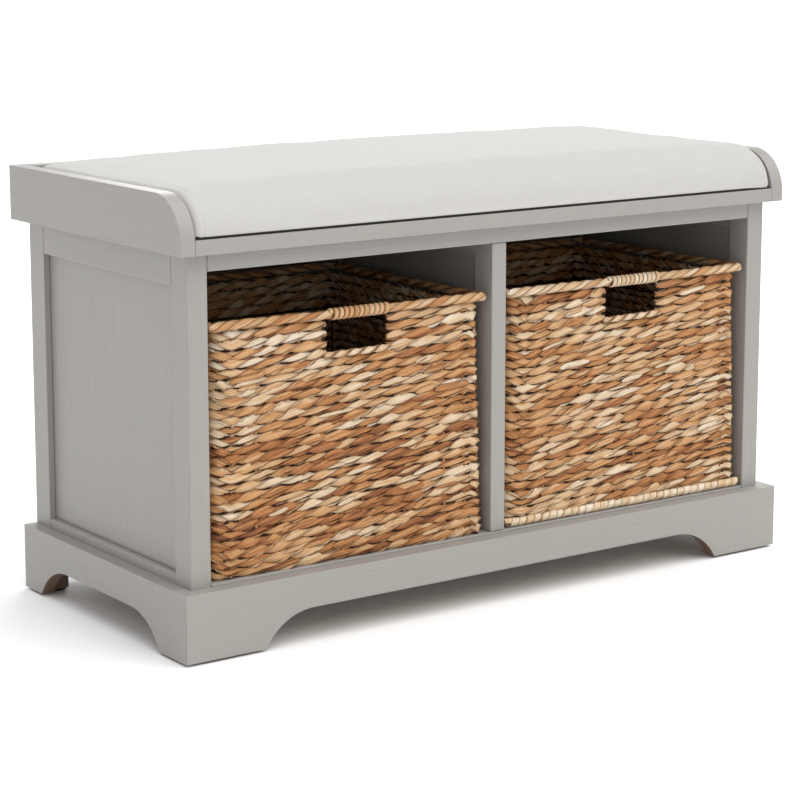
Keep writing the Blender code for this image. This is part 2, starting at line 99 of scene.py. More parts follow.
# %% [markdown]
# ## Studio
# A product studio is a white room with big soft lamps. Here the world gives the even light of the
# walls. A very wide light from above and a little in front stands for a ceiling of cloth: it makes
# the tops about twice as bright as the sides. A soft lamp in front keeps the baskets clear, and one
# behind the bench draws bright lines along its top edges. The floor is plain and pale.

# %% Floor and light
FLOOR_HALF = 40.0
WORLD_STRENGTH = 0.7
SUN_SPREAD = radians(80)        # how wide the overhead light looks from the bench
LAMP_WIDTH = 1.8
LIT_PLACE = Vector((0.0, 0.0, 0.25))    # the middle of the bench, which all lamps face
LAMPS = {                       # the kind, the place and the strength of each
    "overhead": ("SUN", (0.5, -0.9, 2.6), 2.5),
    "front": ("AREA", (0.9, -3.0, 1.4), 4.0),
    "rear": ("AREA", (2.2, 3.1, 1.7), 40.0),
}

corners = [(x * FLOOR_HALF, y * FLOOR_HALF, 0.0) for x, y in ((-1, -1), (1, -1), (1, 1), (-1, 1))]
floor_mesh = bpy.data.meshes.new("floor")
floor_mesh.from_pydata(corners, [], [(0, 1, 2, 3)])
floor = bpy.data.objects.new("floor", floor_mesh)
scene.collection.objects.link(floor)
floor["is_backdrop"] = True

world = bpy.data.worlds.new("studio")
world.use_nodes = True
background = world.node_tree.nodes["Background"].inputs
background["Color"].default_value = (1.0, 1.0, 1.0, 1.0)
background["Strength"].default_value = WORLD_STRENGTH
scene.world = world
scene.view_settings.view_transform = "Standard"

for name, (kind, place, power) in LAMPS.items():
    lamp = bpy.data.lights.new(name, kind)
    lamp.energy = power
    if kind == "SUN":
        lamp.angle = SUN_SPREAD
    else:
        lamp.shape, lamp.size = "DISK", LAMP_WIDTH
    holder = bpy.data.objects.new(name, lamp)
    holder.location = place
    holder.rotation_euler = (LIT_PLACE - Vector(place)).to_track_quat("-Z", "Y").to_euler()
    scene.collection.objects.link(holder)
print("lamps:", sorted(LAMPS))

# %% [markdown]
# ## Helpers for node trees
# Colours are written as sRGB hex values, as a paint chart gives them, and turned into the linear
# values that a shader works with. One function adds a node to any tree and makes its settings, and
# another fills a node's inputs, so the materials and the geometry tree below all read the same way.

# %% Helpers: colours and nodes
VECTOR, NOISE = "ShaderNodeVectorMath", "ShaderNodeTexNoise"
MIX, RANGE, BUMP = "ShaderNodeMix", "ShaderNodeMapRange", "ShaderNodeBump"
PLACE, SPLIT, JOIN = "ShaderNodeTexCoord", "ShaderNodeSeparateXYZ", "ShaderNodeCombineXYZ"


def linear(hex_code):
    """An sRGB hex colour as linear red, green, blue and alpha."""
    channels = [int(hex_code[i:i + 2], 16) / 255 for i in (0, 2, 4)]
    return [c / 12.92 if c <= 0.04045 else ((c + 0.055) / 1.055) ** 2.4 for c in channels] + [1.0]


def fill(tree, node, inputs):
    """Fills inputs, by name or in order, with values, with sockets or with other nodes' results."""
    for key, value in inputs.items() if isinstance(inputs, dict) else enumerate(inputs):
        if isinstance(value, bpy.types.Node):
            value = next(socket for socket in value.outputs if socket.enabled)
        if isinstance(value, bpy.types.NodeSocket):
            tree.links.new(value, node.inputs[key])
        else:
            node.inputs[key].default_value = value


def add(tree, kind, inputs=(), stops=(), **settings):
    """
    Adds a node to a tree, makes its settings, and fills its inputs and its colour stops. A kind all
    in capitals is an operation of the Math node.
    """
    if kind.isupper():
        kind, settings = "ShaderNodeMath", {"operation": kind}
    node = tree.nodes.new(kind)
    for name, value in settings.items():
        setattr(node, name, value)
    fill(tree, node, inputs)
    for place, (position, hex_code) in enumerate(stops):
        steps = node.color_ramp.elements
        step = steps[place] if place < 2 else steps.new(position)
        step.position, step.color = position, linear(hex_code)
    return node


def start_material(name, roughness, **sockets):
    """A new material, its tree and its shader, with the values that are even all over it."""
    material = bpy.data.materials.new(name)
    material.use_nodes = True
    shader = material.node_tree.nodes["Principled BSDF"]
    values = {socket.replace("_", " "): value for socket, value in sockets.items()}
    fill(material.node_tree, shader, {"Roughness": roughness, **values})
    return material, material.node_tree, shader


# %% [markdown]
# ## Satin paint on wood
# The carcass is sprayed with a warm grey satin lacquer over open-grained wood. The lacquer sinks a
# little into the grain, so fine dark lines run along each board, and the gloss varies with them.
# Grain is a noise that is stretched about sixty times along the board. Its lines are drawn 1.3 mm
# apart, which is coarser than the real ones of about 0.5 mm, so that they still show from a distance.
# Boards run three ways, so there are three paints, one for each direction.
# The lacquer stops where it is hardly seen: the sawn edges of the plinth's arches and the feet of
# the rear posts, except on their backs, are bare brown board. On a plinth board, the sawn edge is
# where the surface doesn't face the way that the board does. Plinth boards and rear posts therefore
# have a paint of their own, which mixes in the brown board there.

# %% Satin paint
PAINT = "95928D"
PAINT_IN_GRAIN = "888480"
GRAIN_LINE = 0.0013
GRAIN_LENGTH = 0.080
GRAIN_SHOWS = (0.52, 0.74)      # the range of the noise that turns into dark lines
GLOSS = (0.32, 0.50)            # roughness between the grain lines and in them
CLOUDS = 9.0                    # cloudy patches in a metre, in which the grain shows more
BOARD = "7B6352"
BOARD_DARK = "5A4638"
BARE_TOP = 0.0700               # height below which the board is bare
BARE_REACH = {"Y": 0.400, "X": 0.165}   # how far out from the middle the sawn edges lie
FACING = 0.5                    # a surface faces a way from this share of its normal on


def satin_paint(axis, bare=None):
    """
    Paint with its grain along an axis. Bare says where the brown board shows: on the sawn edges of
    a plinth board that faces the axis it names, or on a foot.
    """
    name = "grey satin lacquer, grain " + axis + (", bare " + bare if bare else "")
    material, tree, shader = start_material(name, 0.40, Specular_IOR_Level=0.5)
    scale = [1 / GRAIN_LENGTH if letter == axis else 1 / GRAIN_LINE for letter in "XYZ"]
    place = add(tree, PLACE).outputs["Object"]
    along = add(tree, "ShaderNodeMapping", {"Vector": place, "Scale": scale})
    grain = add(tree, NOISE, {"Vector": along, "Scale": 1.0, "Detail": 3.0, "Roughness": 0.6})
    clouds = add(tree, NOISE, {"Vector": place, "Scale": CLOUDS, "Detail": 2.0})
    lines = add(tree, RANGE, {"Value": grain, "From Min": GRAIN_SHOWS[0], "From Max": GRAIN_SHOWS[1]})
    depth = add(tree, "MULTIPLY", (lines, clouds))
    colour = add(tree, MIX, {0: depth, 6: linear(PAINT), 7: linear(PAINT_IN_GRAIN)}, data_type="RGBA")
    gloss = add(tree, RANGE, {"Value": grain, "To Min": GLOSS[0], "To Max": GLOSS[1]})
    relief = add(tree, BUMP, {"Height": grain, "Strength": 0.25, "Distance": 0.0004})
    if bare:
        spot = add(tree, SPLIT, (place,)).outputs
        normal = add(tree, "ShaderNodeNewGeometry").outputs["Normal"]
        face = add(tree, SPLIT, (normal,)).outputs
        if bare == "foot":
            limits = [(face["Y"], FACING)]
        else:
            flat = add(tree, "ABSOLUTE", (face[bare],))
            sideways = spot["Y" if bare == "X" else "X"]
            reach = add(tree, "ABSOLUTE", (sideways,))
            limits = [(flat, FACING), (reach, BARE_REACH[bare])]
        covered = 1.0
        for measure, limit in [(spot["Z"], BARE_TOP)] + limits:
            below = add(tree, "LESS_THAN", (measure, limit))
            covered = add(tree, "MULTIPLY", (covered, below))
        board = add(tree, MIX, {0: clouds, 6: linear(BOARD), 7: linear(BOARD_DARK)}, data_type="RGBA")
        colour = add(tree, MIX, {0: covered, 6: colour, 7: board}, data_type="RGBA")
    fill(tree, shader, {"Base Color": colour, "Roughness": gloss, "Normal": relief})
    return material


paints = {axis: satin_paint(axis) for axis in "XYZ"}
bare_paints = {
    "plinth_front": satin_paint("X", "Y"),
    "plinth_left": satin_paint("Y", "X"),
    "plinth_right": satin_paint("Y", "X"),
    "rear_post_left": satin_paint("Z", "foot"),
    "rear_post_right": satin_paint("Z", "foot"),
}
print("paints:", len(paints) + len(bare_paints))

# %% [markdown]
# ## The hidden materials
# Bare pine shows only on the cleats underneath: pale wood with growth rings that cut its faces in
# long wavy bands. The glides are moulded plastic, the screws are zinc-plated steel, the baskets stand
# on a frame of dark steel wire, and black dust cloth closes the cushion from below.

# %% Pine, zinc, wire, plastic and dust cloth
PINE_BANDS = (4.0, 60.0, 60.0)  # growth rings in a metre, along the cleat and across it


def bare_pine():
    material, tree, shader = start_material("bare pine", 0.7)
    place = add(tree, PLACE).outputs["Object"]
    along = add(tree, "ShaderNodeMapping", {"Vector": place, "Scale": PINE_BANDS})
    rings = add(tree, NOISE, {"Vector": along, "Scale": 1.0, "Detail": 4.0, "Distortion": 0.6})
    colour = add(tree, "ShaderNodeValToRGB", (rings,), ((0.3, "D9BC93"), (0.7, "B98F5F")))
    relief = add(tree, BUMP, {"Height": rings, "Strength": 0.3, "Distance": 0.0005})
    fill(tree, shader, {"Base Color": colour, "Normal": relief})
    return material


def mottled(name, light, dark, roughness, size, relief_depth, **sockets):
    """A material with fine irregular mottling of a given size in metres."""
    material, tree, shader = start_material(name, roughness, **sockets)
    place = add(tree, PLACE).outputs["Object"]
    mottle = add(tree, NOISE, {"Vector": place, "Scale": 1 / size, "Detail": 3.0})
    colour = add(tree, MIX, {0: mottle, 6: linear(light), 7: linear(dark)}, data_type="RGBA")
    gloss = add(tree, RANGE, {"Value": mottle, "To Min": roughness - 0.1, "To Max": roughness + 0.1})
    relief = add(tree, BUMP, {"Height": mottle, "Strength": 0.4, "Distance": relief_depth})
    fill(tree, shader, {"Base Color": colour, "Roughness": gloss, "Normal": relief})
    return material


pine = bare_pine()
zinc = mottled("zinc-plated steel", "C9CBCC", "A3A6A8", 0.35, 0.002, 0.0001, Metallic=1.0)
wire = mottled("dark drawn steel wire", "4A4642", "2E2B28", 0.45, 0.003, 0.0001, Metallic=1.0)
glide_plastic = mottled("moulded brown plastic", "2E2723", "221C19", 0.55, 0.001, 0.0001)
dust_cloth = mottled("black spunbond dust cloth", "262524", "141313", 0.9, 0.0015, 0.0003)
studio_floor = mottled("pale studio floor", "FBFBFB", "F8F8F8", 0.8, 0.4, 0.0001, Specular_IOR_Level=0.2)
floor_mesh.materials.append(studio_floor)
print("materials so far:", len(bpy.data.materials))

# %% [markdown]
# ## Finishes on the hard pieces
# Every board's grain runs along its length, because wood is sawn and planed that way. The longest
# side of each node's box gives that direction. Panels are wide, so theirs is named: it runs upright.

# %% Assign the finishes
SLOT_FINISH = {"bare_wood": pine, "zinc": zinc, "steel_wire": wire, "glide_plastic": glide_plastic,
               "dust_cloth": dust_cloth}
node_slots = {part["node"]: part["material_slot"] for part in frame["record"]["subparts"]}
painted = 0
for name, node in frame["nodes"].items():
    slot_name = node_slots[name]
    if slot_name == "grey_paint":
        low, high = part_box(name)
        size = list(high - low)
        axis = "Z" if "panel" in name else "XYZ"[size.index(max(size))]
        material = bare_paints.get(name, paints[axis])
        painted += 1
    elif slot_name in SLOT_FINISH:
        material = SLOT_FINISH[slot_name]
    else:
        continue
    for place in range(len(node.data.materials)):
        node.data.materials[place] = material
print("painted boards:", painted)

# %% [markdown]
# ## Dried water hyacinth
# The leaf is dried in the sun, split into strips and twisted while damp. Each strip dries to its own
# colour, from cream through tan to a burnt brown, with fine darker fibres along it. The edges of each
# strip are darkened with painted shade, which outlines the strips. The attributes that the geometry tree
# leaves on each strip say how pale it is there (tone), how far along it a point is (along) and how far
# across (around, from -1 to 1), so the fibres follow every twist. The dry skin has a faint satin gloss.

# %% Leaf finish
LEAF_TONES = ((0.0, "5A3520"), (0.1, "864E2C"), (0.3, "AF7644"), (0.5, "C49463"), (0.72, "CFB08A"),
              (0.9, "D9C5A8"), (1.0, "E1D2BC"))
# painted shade: the colour that the edges of each strip are darkened towards
EDGE_SHADE = "5E381D"
FIBRE_LENGTH = 0.030
FIBRES_ACROSS = 3.2
TONES_APART = 90.0              # takes strips of two tones to different places in the noise
PATCHES = 0.35                  # size of the fibres against that of the patches
FIBRE_CONTRAST = 0.55           # the most that a fibre changes the tone
PATCH_CONTRAST = 0.28


def dried_leaf():
    material, tree, shader = start_material("dried water hyacinth leaf", 0.62, Specular_IOR_Level=0.35)
    tone, along, around = [add(tree, "ShaderNodeAttribute", attribute_name=word).outputs["Fac"]
                           for word in ("tone", "along", "around")]
    scales = ((along, 1 / FIBRE_LENGTH), (around, FIBRES_ACROSS), (tone, TONES_APART))
    place = add(tree, JOIN, [add(tree, "MULTIPLY", scale) for scale in scales])
    fibres = add(tree, NOISE, {"Vector": place, "Scale": 1.0, "Detail": 4.0, "Roughness": 0.65})
    patches = add(tree, NOISE, {"Vector": place, "Scale": PATCHES, "Detail": 1.0})
    shown = tone
    for pattern, contrast in ((fibres, FIBRE_CONTRAST), (patches, PATCH_CONTRAST)):
        change = add(tree, RANGE, {"Value": pattern, "To Min": -contrast, "To Max": contrast})
        shown = add(tree, "ADD", (shown, change))
    colour = add(tree, "ShaderNodeValToRGB", (shown,), LEAF_TONES)
    edge = add(tree, "ABSOLUTE", (around,))
    # The edges of each strip are darkened towards this colour: painted shade between the strips.
    edge_shade_share = add(tree, RANGE, {"Value": edge, "From Min": 0.6, "From Max": 1.0, "To Max": 0.8})
    shaded_edges = add(tree, MIX, {0: edge_shade_share, 6: colour, 7: linear(EDGE_SHADE)}, data_type="RGBA")
    relief = add(tree, BUMP, {"Height": fibres, "Strength": 0.8, "Distance": 0.0020})
    fill(tree, shader, {"Base Color": shaded_edges, "Normal": relief})
    return material


leaf = dried_leaf()
# The sheet in the middle of the wall: its dark brown is painted shade, seen between the strips.
shade = mottled("dark inner bark", "34210F", "1C1008", 0.9, 0.006, 0.0015)
print("leaf tones:", len(LEAF_TONES))

# %% [markdown]
# ## A tree for twisted strands
# A basket wall is twined: three strips run round it together and twist about one another between
# the upright stems, so each shows as a long slanted leaf shape, then dives behind the next one.
# Python only draws the paths along which strands run. It gives each point a phase, which is how far
# the strand has twisted there, and two directions: outward and across. The geometry tree does the
# rest: it winds each path round its centre line, gives the strip its own width and tone, turns its
# flat side outwards and sweeps a flattened round section along it.

# %% Geometry tree: twisted strands
# Of a strip: its width and thickness, how far it winds in and out of the wall and up and down in its
# row, how long it lies flat before it turns away, how much it leans over the strip below it, how far
# it wobbles, by what share widths differ, its darkest and palest tone, and the seed of its draws.
STRAND_INPUTS = ("Width", "Thickness", "Depth", "Rise", "Lie Flat", "Lap", "Wobble", "Width Spread",
                 "Tone Low", "Tone High", "Seed")
LOOKS = {
    "weave_left": (0.0092, 0.0014, 0.0025, 0.0031, 0.30, 0.40, 0.0030, 0.32, 0.14, 0.84, 11.0),
    "weave_right": (0.0092, 0.0014, 0.0025, 0.0031, 0.30, 0.40, 0.0030, 0.32, 0.18, 0.82, 23.0),
    "stems": (0.0034, 0.0034, 0.0, 0.0, 0.0, 0.0, 0.0014, 0.32, 0.0, 0.4, 2.0),
    "floor": (0.0092, 0.0014, 0.0016, 0.0024, 0.30, 0.40, 0.0030, 0.32, 0.2, 0.8, 5.0),
    "rim_wrap": (0.0074, 0.0026, 0.0032, 0.0032, 0.0, 0.25, 0.0022, 0.25, 0.30, 0.75, 3.0),
    "handle_whipping": (0.0064, 0.0026, 0.0053, 0.0053, 0.0, 0.0, 0.0003, 0.06, 0.45, 0.65, 9.0),
    "loose_strips": (0.0078, 0.0012, 0.0, 0.0, 0.0, 0.0, 0.0020, 0.2, 0.40, 0.62, 4.0),
    "hole_edge": (0.0074, 0.0026, 0.0018, 0.0016, 0.0, 0.0, 0.0006, 0.1, 0.4, 0.7, 6.0),
    "foot_roll": (0.0122, 0.0024, 0.0036, 0.0040, 0.0, 0.0, 0.0008, 0.12, 0.40, 0.62, 8.0),
}
UNEVENNESS = 55.0               # wobbles in a metre
SECTION_SIDES = 8


def strand_tree():
    tree = bpy.data.node_groups.new("twisted strands", "GeometryNodeTree")
    tree.interface.new_socket("Geometry", in_out="INPUT", socket_type="NodeSocketGeometry")
    for name in STRAND_INPUTS:
        tree.interface.new_socket(name, in_out="INPUT", socket_type="NodeSocketFloat")
    tree.interface.new_socket("Material", in_out="INPUT", socket_type="NodeSocketMaterial")
    tree.interface.new_socket("Geometry", in_out="OUTPUT", socket_type="NodeSocketGeometry")
    given = add(tree, "NodeGroupInput").outputs
    phase, size, bias, strand = [
        add(tree, "GeometryNodeInputNamedAttribute", {"Name": word}, data_type="FLOAT")
        for word in ("phase", "size", "bias", "strand")]
    outward, across = [
        add(tree, "GeometryNodeInputNamedAttribute", {"Name": word}, data_type="FLOAT_VECTOR")
        for word in ("outward", "across")]

    def swing(angle, out_reach, across_reach):
        """A vector that turns from outward to across as the angle grows."""
        parts = []
        for direction, wave, reach in ((outward, "COSINE", out_reach), (across, "SINE", across_reach)):
            share = add(tree, wave, (angle,))
            length = add(tree, "MULTIPLY", (share, reach))
            parts.append(add(tree, VECTOR, {0: direction, "Scale": length}, operation="SCALE"))
        return add(tree, VECTOR, parts, operation="ADD")

    # The path winds round its centre line, and a noise in space makes it uneven.
    depth = add(tree, "MULTIPLY", (given["Depth"], size))
    rise = add(tree, "MULTIPLY", (given["Rise"], size))
    position = add(tree, "GeometryNodeInputPosition")
    uneven = add(tree, NOISE, {"Vector": position, "Scale": UNEVENNESS, "Detail": 1.0}).outputs["Color"]
    centred = add(tree, VECTOR, (uneven, (0.5, 0.5, 0.5)), operation="SUBTRACT")
    wobble = add(tree, VECTOR, {0: centred, "Scale": given["Wobble"]}, operation="SCALE")
    offset = add(tree, VECTOR, (swing(phase, depth, rise), wobble), operation="ADD")
    moved = add(tree, "GeometryNodeSetPosition", {"Geometry": given["Geometry"], "Offset": offset})

    # Each whole turn shows another stretch of leaf, so it gets a tone of its own.
    turns = add(tree, "DIVIDE", (phase, tau))
    nearest = add(tree, "ADD", (turns, 0.5))
    stretch = add(tree, "FLOOR", (nearest,))
    strip = add(tree, "ADD", (strand, stretch))
    chosen = add(tree, "FunctionNodeRandomValue",
                 {2: given["Tone Low"], 3: given["Tone High"], "ID": strip, "Seed": given["Seed"]},
                 data_type="FLOAT")
    tone = add(tree, "ADD", (chosen, bias))
    toned = add(tree, "GeometryNodeStoreNamedAttribute", {"Geometry": moved, "Name": "tone", "Value": tone},
                data_type="FLOAT", domain="POINT")
    curve = add(tree, "GeometryNodeMeshToCurve", {"Mesh": toned})

    # The flat side lingers where it faces outwards and leans over the strip below as it turns away.
    doubled = add(tree, "MULTIPLY", (phase, 2.0))
    twice = add(tree, "SINE", (doubled,))
    lingering = add(tree, "MULTIPLY", (twice, given["Lie Flat"]))
    flattened = add(tree, "SUBTRACT", (phase, lingering))
    sideways = add(tree, "SINE", (phase,))
    side_on = add(tree, "POWER", (sideways, 2.0))
    leaning = add(tree, "MULTIPLY", (side_on, given["Lap"]))
    turned = add(tree, "SUBTRACT", (flattened, leaning))
    oriented = add(tree, "GeometryNodeSetCurveNormal", {"Curve": curve, "Normal": swing(turned, 1.0, 1.0)},
                   mode="FREE")

    # The section is a flattened circle that knows how far across the strip each point is.
    circle = add(tree, "GeometryNodeCurvePrimitiveCircle", {"Resolution": SECTION_SIDES, "Radius": 1.0})
    spot = add(tree, SPLIT, (position,))
    marked = add(tree, "GeometryNodeStoreNamedAttribute",
                 {"Geometry": circle, "Name": "around", "Value": spot.outputs["Y"]},
                 data_type="FLOAT", domain="POINT")
    half_thick = add(tree, "MULTIPLY", (given["Thickness"], 0.5))
    half_wide = add(tree, "MULTIPLY", (given["Width"], 0.5))
    half = add(tree, JOIN, (half_thick, half_wide, 1.0))
    section = add(tree, "GeometryNodeTransform", {"Geometry": marked, "Scale": half})
    narrower = add(tree, "MULTIPLY", (given["Width Spread"], -1.0))
    other_seed = add(tree, "ADD", (given["Seed"], 7.0))
    spread = add(tree, "FunctionNodeRandomValue",
                 {2: narrower, 3: given["Width Spread"], "ID": strip, "Seed": other_seed},
                 data_type="FLOAT")
    share = add(tree, "ADD", (1.0, spread))
    girth = add(tree, "MULTIPLY", (size, share))
    swept = add(tree, "GeometryNodeCurveToMesh",
                {"Curve": oriented, "Profile Curve": section, "Scale": girth, "Fill Caps": True})
    smooth = add(tree, "GeometryNodeSetShadeSmooth", {"Geometry": swept})
    real = add(tree, "GeometryNodeRealizeInstances", {"Geometry": smooth})
    finished = add(tree, "GeometryNodeSetMaterial", {"Geometry": real, "Material": given["Material"]})
    add(tree, "NodeGroupOutput", (finished,))
    return tree


strands = strand_tree()
print("strand tree:", len(strands.nodes), "nodes")

# %% [markdown]
# ## From paths to plain meshes
# A path is a list of points. Each point has a place, its outward and across directions, its phase,
# its distance along the strand, a size that thins the strand towards an end, and a bias that makes
# it paler or darker. All paths of one piece go into one mesh of loose edges. The tree runs once on
# it, its result becomes a plain mesh, and the modifier is left behind with the drawing.

# %% Draw strands and run the tree
def finish_piece(piece, body, slot_name, *nodes):
    """Makes a new piece ride on its body and hides the nodes that it stands for. The slot name is not used.
    """
    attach(piece, body)
    if nodes:
        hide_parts(*nodes)


def draw_strands(side, part, paths, look=None, slot_name="leaf_weave", stands_for=()):
    """Makes one mesh piece of a basket from paths, each (points, closed, strand number)."""
    name = f"basket_{side}_{part}"
    places, edges, rows = [], [], []
    for points, closed, number in paths:
        first = len(places)
        for place, *values in points:
            places.append(place)
            rows.append((*values, number))
        last = len(places) - 1
        edges += [(i, i + 1) for i in range(first, last)]
        if closed:
            edges.append((last, first))
    mesh = bpy.data.meshes.new(name + "_paths")
    mesh.from_pydata(places, edges, [])
    columns = list(zip(*rows))
    for word, values in zip(("outward", "across"), columns[:2]):
        layer = mesh.attributes.new(word, "FLOAT_VECTOR", "POINT")
        layer.data.foreach_set("vector", [part for value in values for part in value])
    for word, values in zip(("phase", "along", "size", "bias", "strand"), columns[2:]):
        layer = mesh.attributes.new(word, "FLOAT", "POINT")
        layer.data.foreach_set("value", [float(value) for value in values])
    drawing = bpy.data.objects.new(name + "_drawing", mesh)
    scene.collection.objects.link(drawing)
    modifier = drawing.modifiers.new("twisted strands", "NODES")
    modifier.node_group = strands
    inputs = {"Material": leaf, **dict(zip(STRAND_INPUTS, LOOKS[look or part]))}
    for item in strands.interface.items_tree:
        if item.in_out == "INPUT" and item.name in inputs:
            modifier[item.identifier] = inputs[item.name]
    bpy.context.view_layer.update()
    evaluated = drawing.evaluated_get(bpy.context.evaluated_depsgraph_get())
    result = bpy.data.meshes.new_from_object(evaluated)
    result.name = name
    bpy.data.objects.remove(drawing, do_unlink=True)
    bpy.data.meshes.remove(mesh)
    piece = bpy.data.objects.new(name, result)
    scene.collection.objects.link(piece)
    result.calc_loop_triangles()
    finish_piece(piece, "basket_" + side, slot_name, *[f"basket_{side}_{node}" for node in stands_for])
    print(name, len(paths), "strands,", len(result.loop_triangles), "triangles")


# %% [markdown]
# ## The path round a basket
# A basket is a box with round corners that narrows a little towards its top. Seen from above, a row
# runs round it anticlockwise, starting behind the basket. The twist turns one way on the front and
# back walls and the other way on the side walls, as a weaver does to keep the basket from skewing, so
# the strips make a chevron just inside each corner of the front.

# %% Walk round a wall
ROW = 0.0102                    # height of one row
TWIST = 0.094                   # length of one whole twist of the strips on the front and the back
SIDE_TWIST = 0.056              # on the sides, where it also shows at the corners of the front
TURN_SHARES = (0.72, 1.3)       # how much shorter or longer than the rest a half turn is
VALLEY_SLACK = 0.4              # how far, in radians, a strip may be off its lowest point in a chevron
STRIPS = 3                      # twisted together in one row
SAMPLE = 0.0040
WALL_MIDDLE = 0.0030            # from the outer face of the wall to its middle
CORNER = 0.013
RIM_OVERHANG = 0.006            # of the rim beyond the top of the weave
CHEVRON = 0.019                 # from the corner of the front to where the twist turns back
HOLE_CLEAR = 0.0015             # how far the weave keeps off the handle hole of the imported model


def walk(distance, half_x, half_y, radius):
    """The place and the outward direction at a distance along a rounded rectangle."""
    heading, x, y = pi, 0.0, half_y
    run_x, run_y = half_x - radius, half_y - radius
    for run in (run_x, 2 * run_y, 2 * run_x, 2 * run_y, run_x):
        straight = min(distance, run)
        bend = min(distance - straight, radius * pi / 2)
        turned = heading + bend / radius
        x += cos(heading) * straight + radius * (sin(turned) - sin(heading))
        y += sin(heading) * straight + radius * (cos(heading) - cos(turned))
        heading = turned
        distance -= straight + bend
    return (x, y), (sin(heading), -cos(heading))


def phases(breaks, odd, valley, dice):
    """
    Marks of distance and phase. The twist turns back at every break, and its turns are uneven. Each
    stretch has an odd or even number of half turns. At the break called valley, a strip is at its
    lowest, so it rises both ways from there.
    """
    marks = [(breaks[0], 0.0)]
    for number, parity in enumerate(odd):
        length = breaks[number + 1] - breaks[number]
        twist = TWIST if number % 2 == 0 else SIDE_TWIST
        halves = max(1, round(2 * length / twist))
        halves += (halves - parity) % 2
        way = pi if number % 2 == 0 else -pi
        shares = [dice.uniform(*TURN_SHARES) for _ in range(halves)]
        for share in shares:
            distance, phase = marks[-1]
            marks.append((distance + length * share / sum(shares), phase + way))
    shift = dice.uniform(-VALLEY_SLACK, VALLEY_SLACK) - pi / 2 - phase_at(marks, valley)
    return [(distance, phase + shift) for distance, phase in marks]


def phase_at(marks, distance):
    places = [mark[0] for mark in marks]
    number = min(max(bisect_right(places, distance), 1), len(marks) - 1)
    (start, first), (end, last) = marks[number - 1], marks[number]
    return first + (last - first) * (distance - start) / (end - start)


class Basket:
    """Where a basket's walls are, read from its nodes."""

    def __init__(self, side):
        weave_low, weave_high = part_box(f"basket_{side}_weave")
        rim_low, rim_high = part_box(f"basket_{side}_rim")
        self.centre = (weave_low + weave_high) / 2
        self.low, self.high = weave_low.z, weave_high.z
        self.bottom = [(weave_high[i] - weave_low[i]) / 2 for i in (0, 1)]
        self.rim_half = [(rim_high[i] - rim_low[i]) / 2 for i in (0, 1)]
        self.top = [half - RIM_OVERHANG for half in self.rim_half]
        self.rim_middle = (rim_low.z + rim_high.z) / 2
        self.rim_radius = (rim_high.z - rim_low.z) / 2
        holes = {o["name"]: o["box_m"] for o in frame["record"]["physics"]["openings"]}
        hole_min, hole_max = holes[f"basket_{side}_front_handle"]
        self.hole_half = (hole_max[0] - hole_min[0]) / 2 + HOLE_CLEAR
        self.hole_shift = (hole_max[0] + hole_min[0]) / 2 - self.centre.x
        self.hole_low = hole_min[2] - HOLE_CLEAR

    def half_at(self, height):
        share = (height - self.low) / (self.high - self.low)
        return [low + (high - low) * share - WALL_MIDDLE for low, high in zip(self.bottom, self.top)]

    def girth(self, height):
        return 4 * (sum(self.half_at(height)) - 2 * CORNER) + tau * CORNER

    def point(self, distance, height, push=0.0):
        half_x, half_y = self.half_at(height)
        (x, y), (out_x, out_y) = walk(distance % self.girth(height), half_x, half_y, CORNER)
        place = (self.centre.x + x + out_x * push, self.centre.y + y + out_y * push, height)
        return place, (out_x, out_y, 0.0)


baskets = {side: Basket(side) for side in ("left", "right")}
for side, basket in baskets.items():
    wide, up = round(2000 * basket.hole_half), round(1000 * basket.hole_low)
    print(side, "basket: hole", wide, "mm wide, from", up, "mm up")

# %% [markdown]
# ## The woven walls
# Below the handle hole, each row is three closed loops that twist about one another. Beside the hole
# a row starts at one edge of it, goes all the way round the back and ends at its other edge, where
# the strips thin out and tuck in. A basket's walls are three meshes: its lower, middle and upper rows.

# %% Weave the walls
UP = (0.0, 0.0, 1.0)
HOLE_EDGE = 0.0050              # height left for the strand along the bottom of the hole
TUCK = 0.010                    # length over which a strip thins out beside the hole
TUCK_SIZE = 0.55                # its size at its very end
STRIP_SHIFT, ROW_SHIFT = 3.1, 1.7   # metres along the leaf, so that no two strips look alike
STRIP_NUMBERS, ROW_NUMBERS = 60, 200    # strand numbers left for one strip's tones and for a row's
ROW_TONE = 0.08                 # the most by which a whole row is paler or darker
WEAVES = {"left": (11, -0.10, 0.13), "right": (23, 0.0, 0.02)}     # seed, bias at bottom and at top


def weave_row(basket, height, number, dice, size, bias, closed):
    """The paths of one row's strips. A row that isn't closed ends at both edges of the handle hole."""
    girth = basket.girth(height)
    turn = basket.half_at(height)[0] - CHEVRON
    if closed:
        breaks = [0.0, turn, girth / 2 - turn, girth / 2 + turn, girth - turn, girth]
        valley = girth / 2 - turn
    else:
        edge, middle = basket.hole_half + HOLE_CLEAR, girth / 2 + basket.hole_shift
        breaks = [middle + edge, girth / 2 + turn, girth - turn, girth + turn, girth * 1.5 - turn,
                  girth + middle - edge]
        valley = girth * 1.5 - turn
    marks = phases(breaks, (0, 0, 1, 0, 1), valley, dice)
    start, end = breaks[0], breaks[-1]
    count = round((end - start) / SAMPLE)
    paths = []
    for strip in range(STRIPS):
        points = []
        for step in range(count if closed else count + 1):
            distance = start + (end - start) * step / count
            place, outward = basket.point(distance, height)
            phase = phase_at(marks, distance) + strip * tau / STRIPS
            from_end = 1.0 if closed else min(distance - start, end - distance, TUCK) / TUCK
            thin = TUCK_SIZE + (1 - TUCK_SIZE) * from_end
            along = distance + strip * STRIP_SHIFT + number * ROW_SHIFT
            points.append((place, outward, UP, phase, along, size * thin, bias))
        paths.append((points, closed, number * ROW_NUMBERS + strip * STRIP_NUMBERS))
    return paths


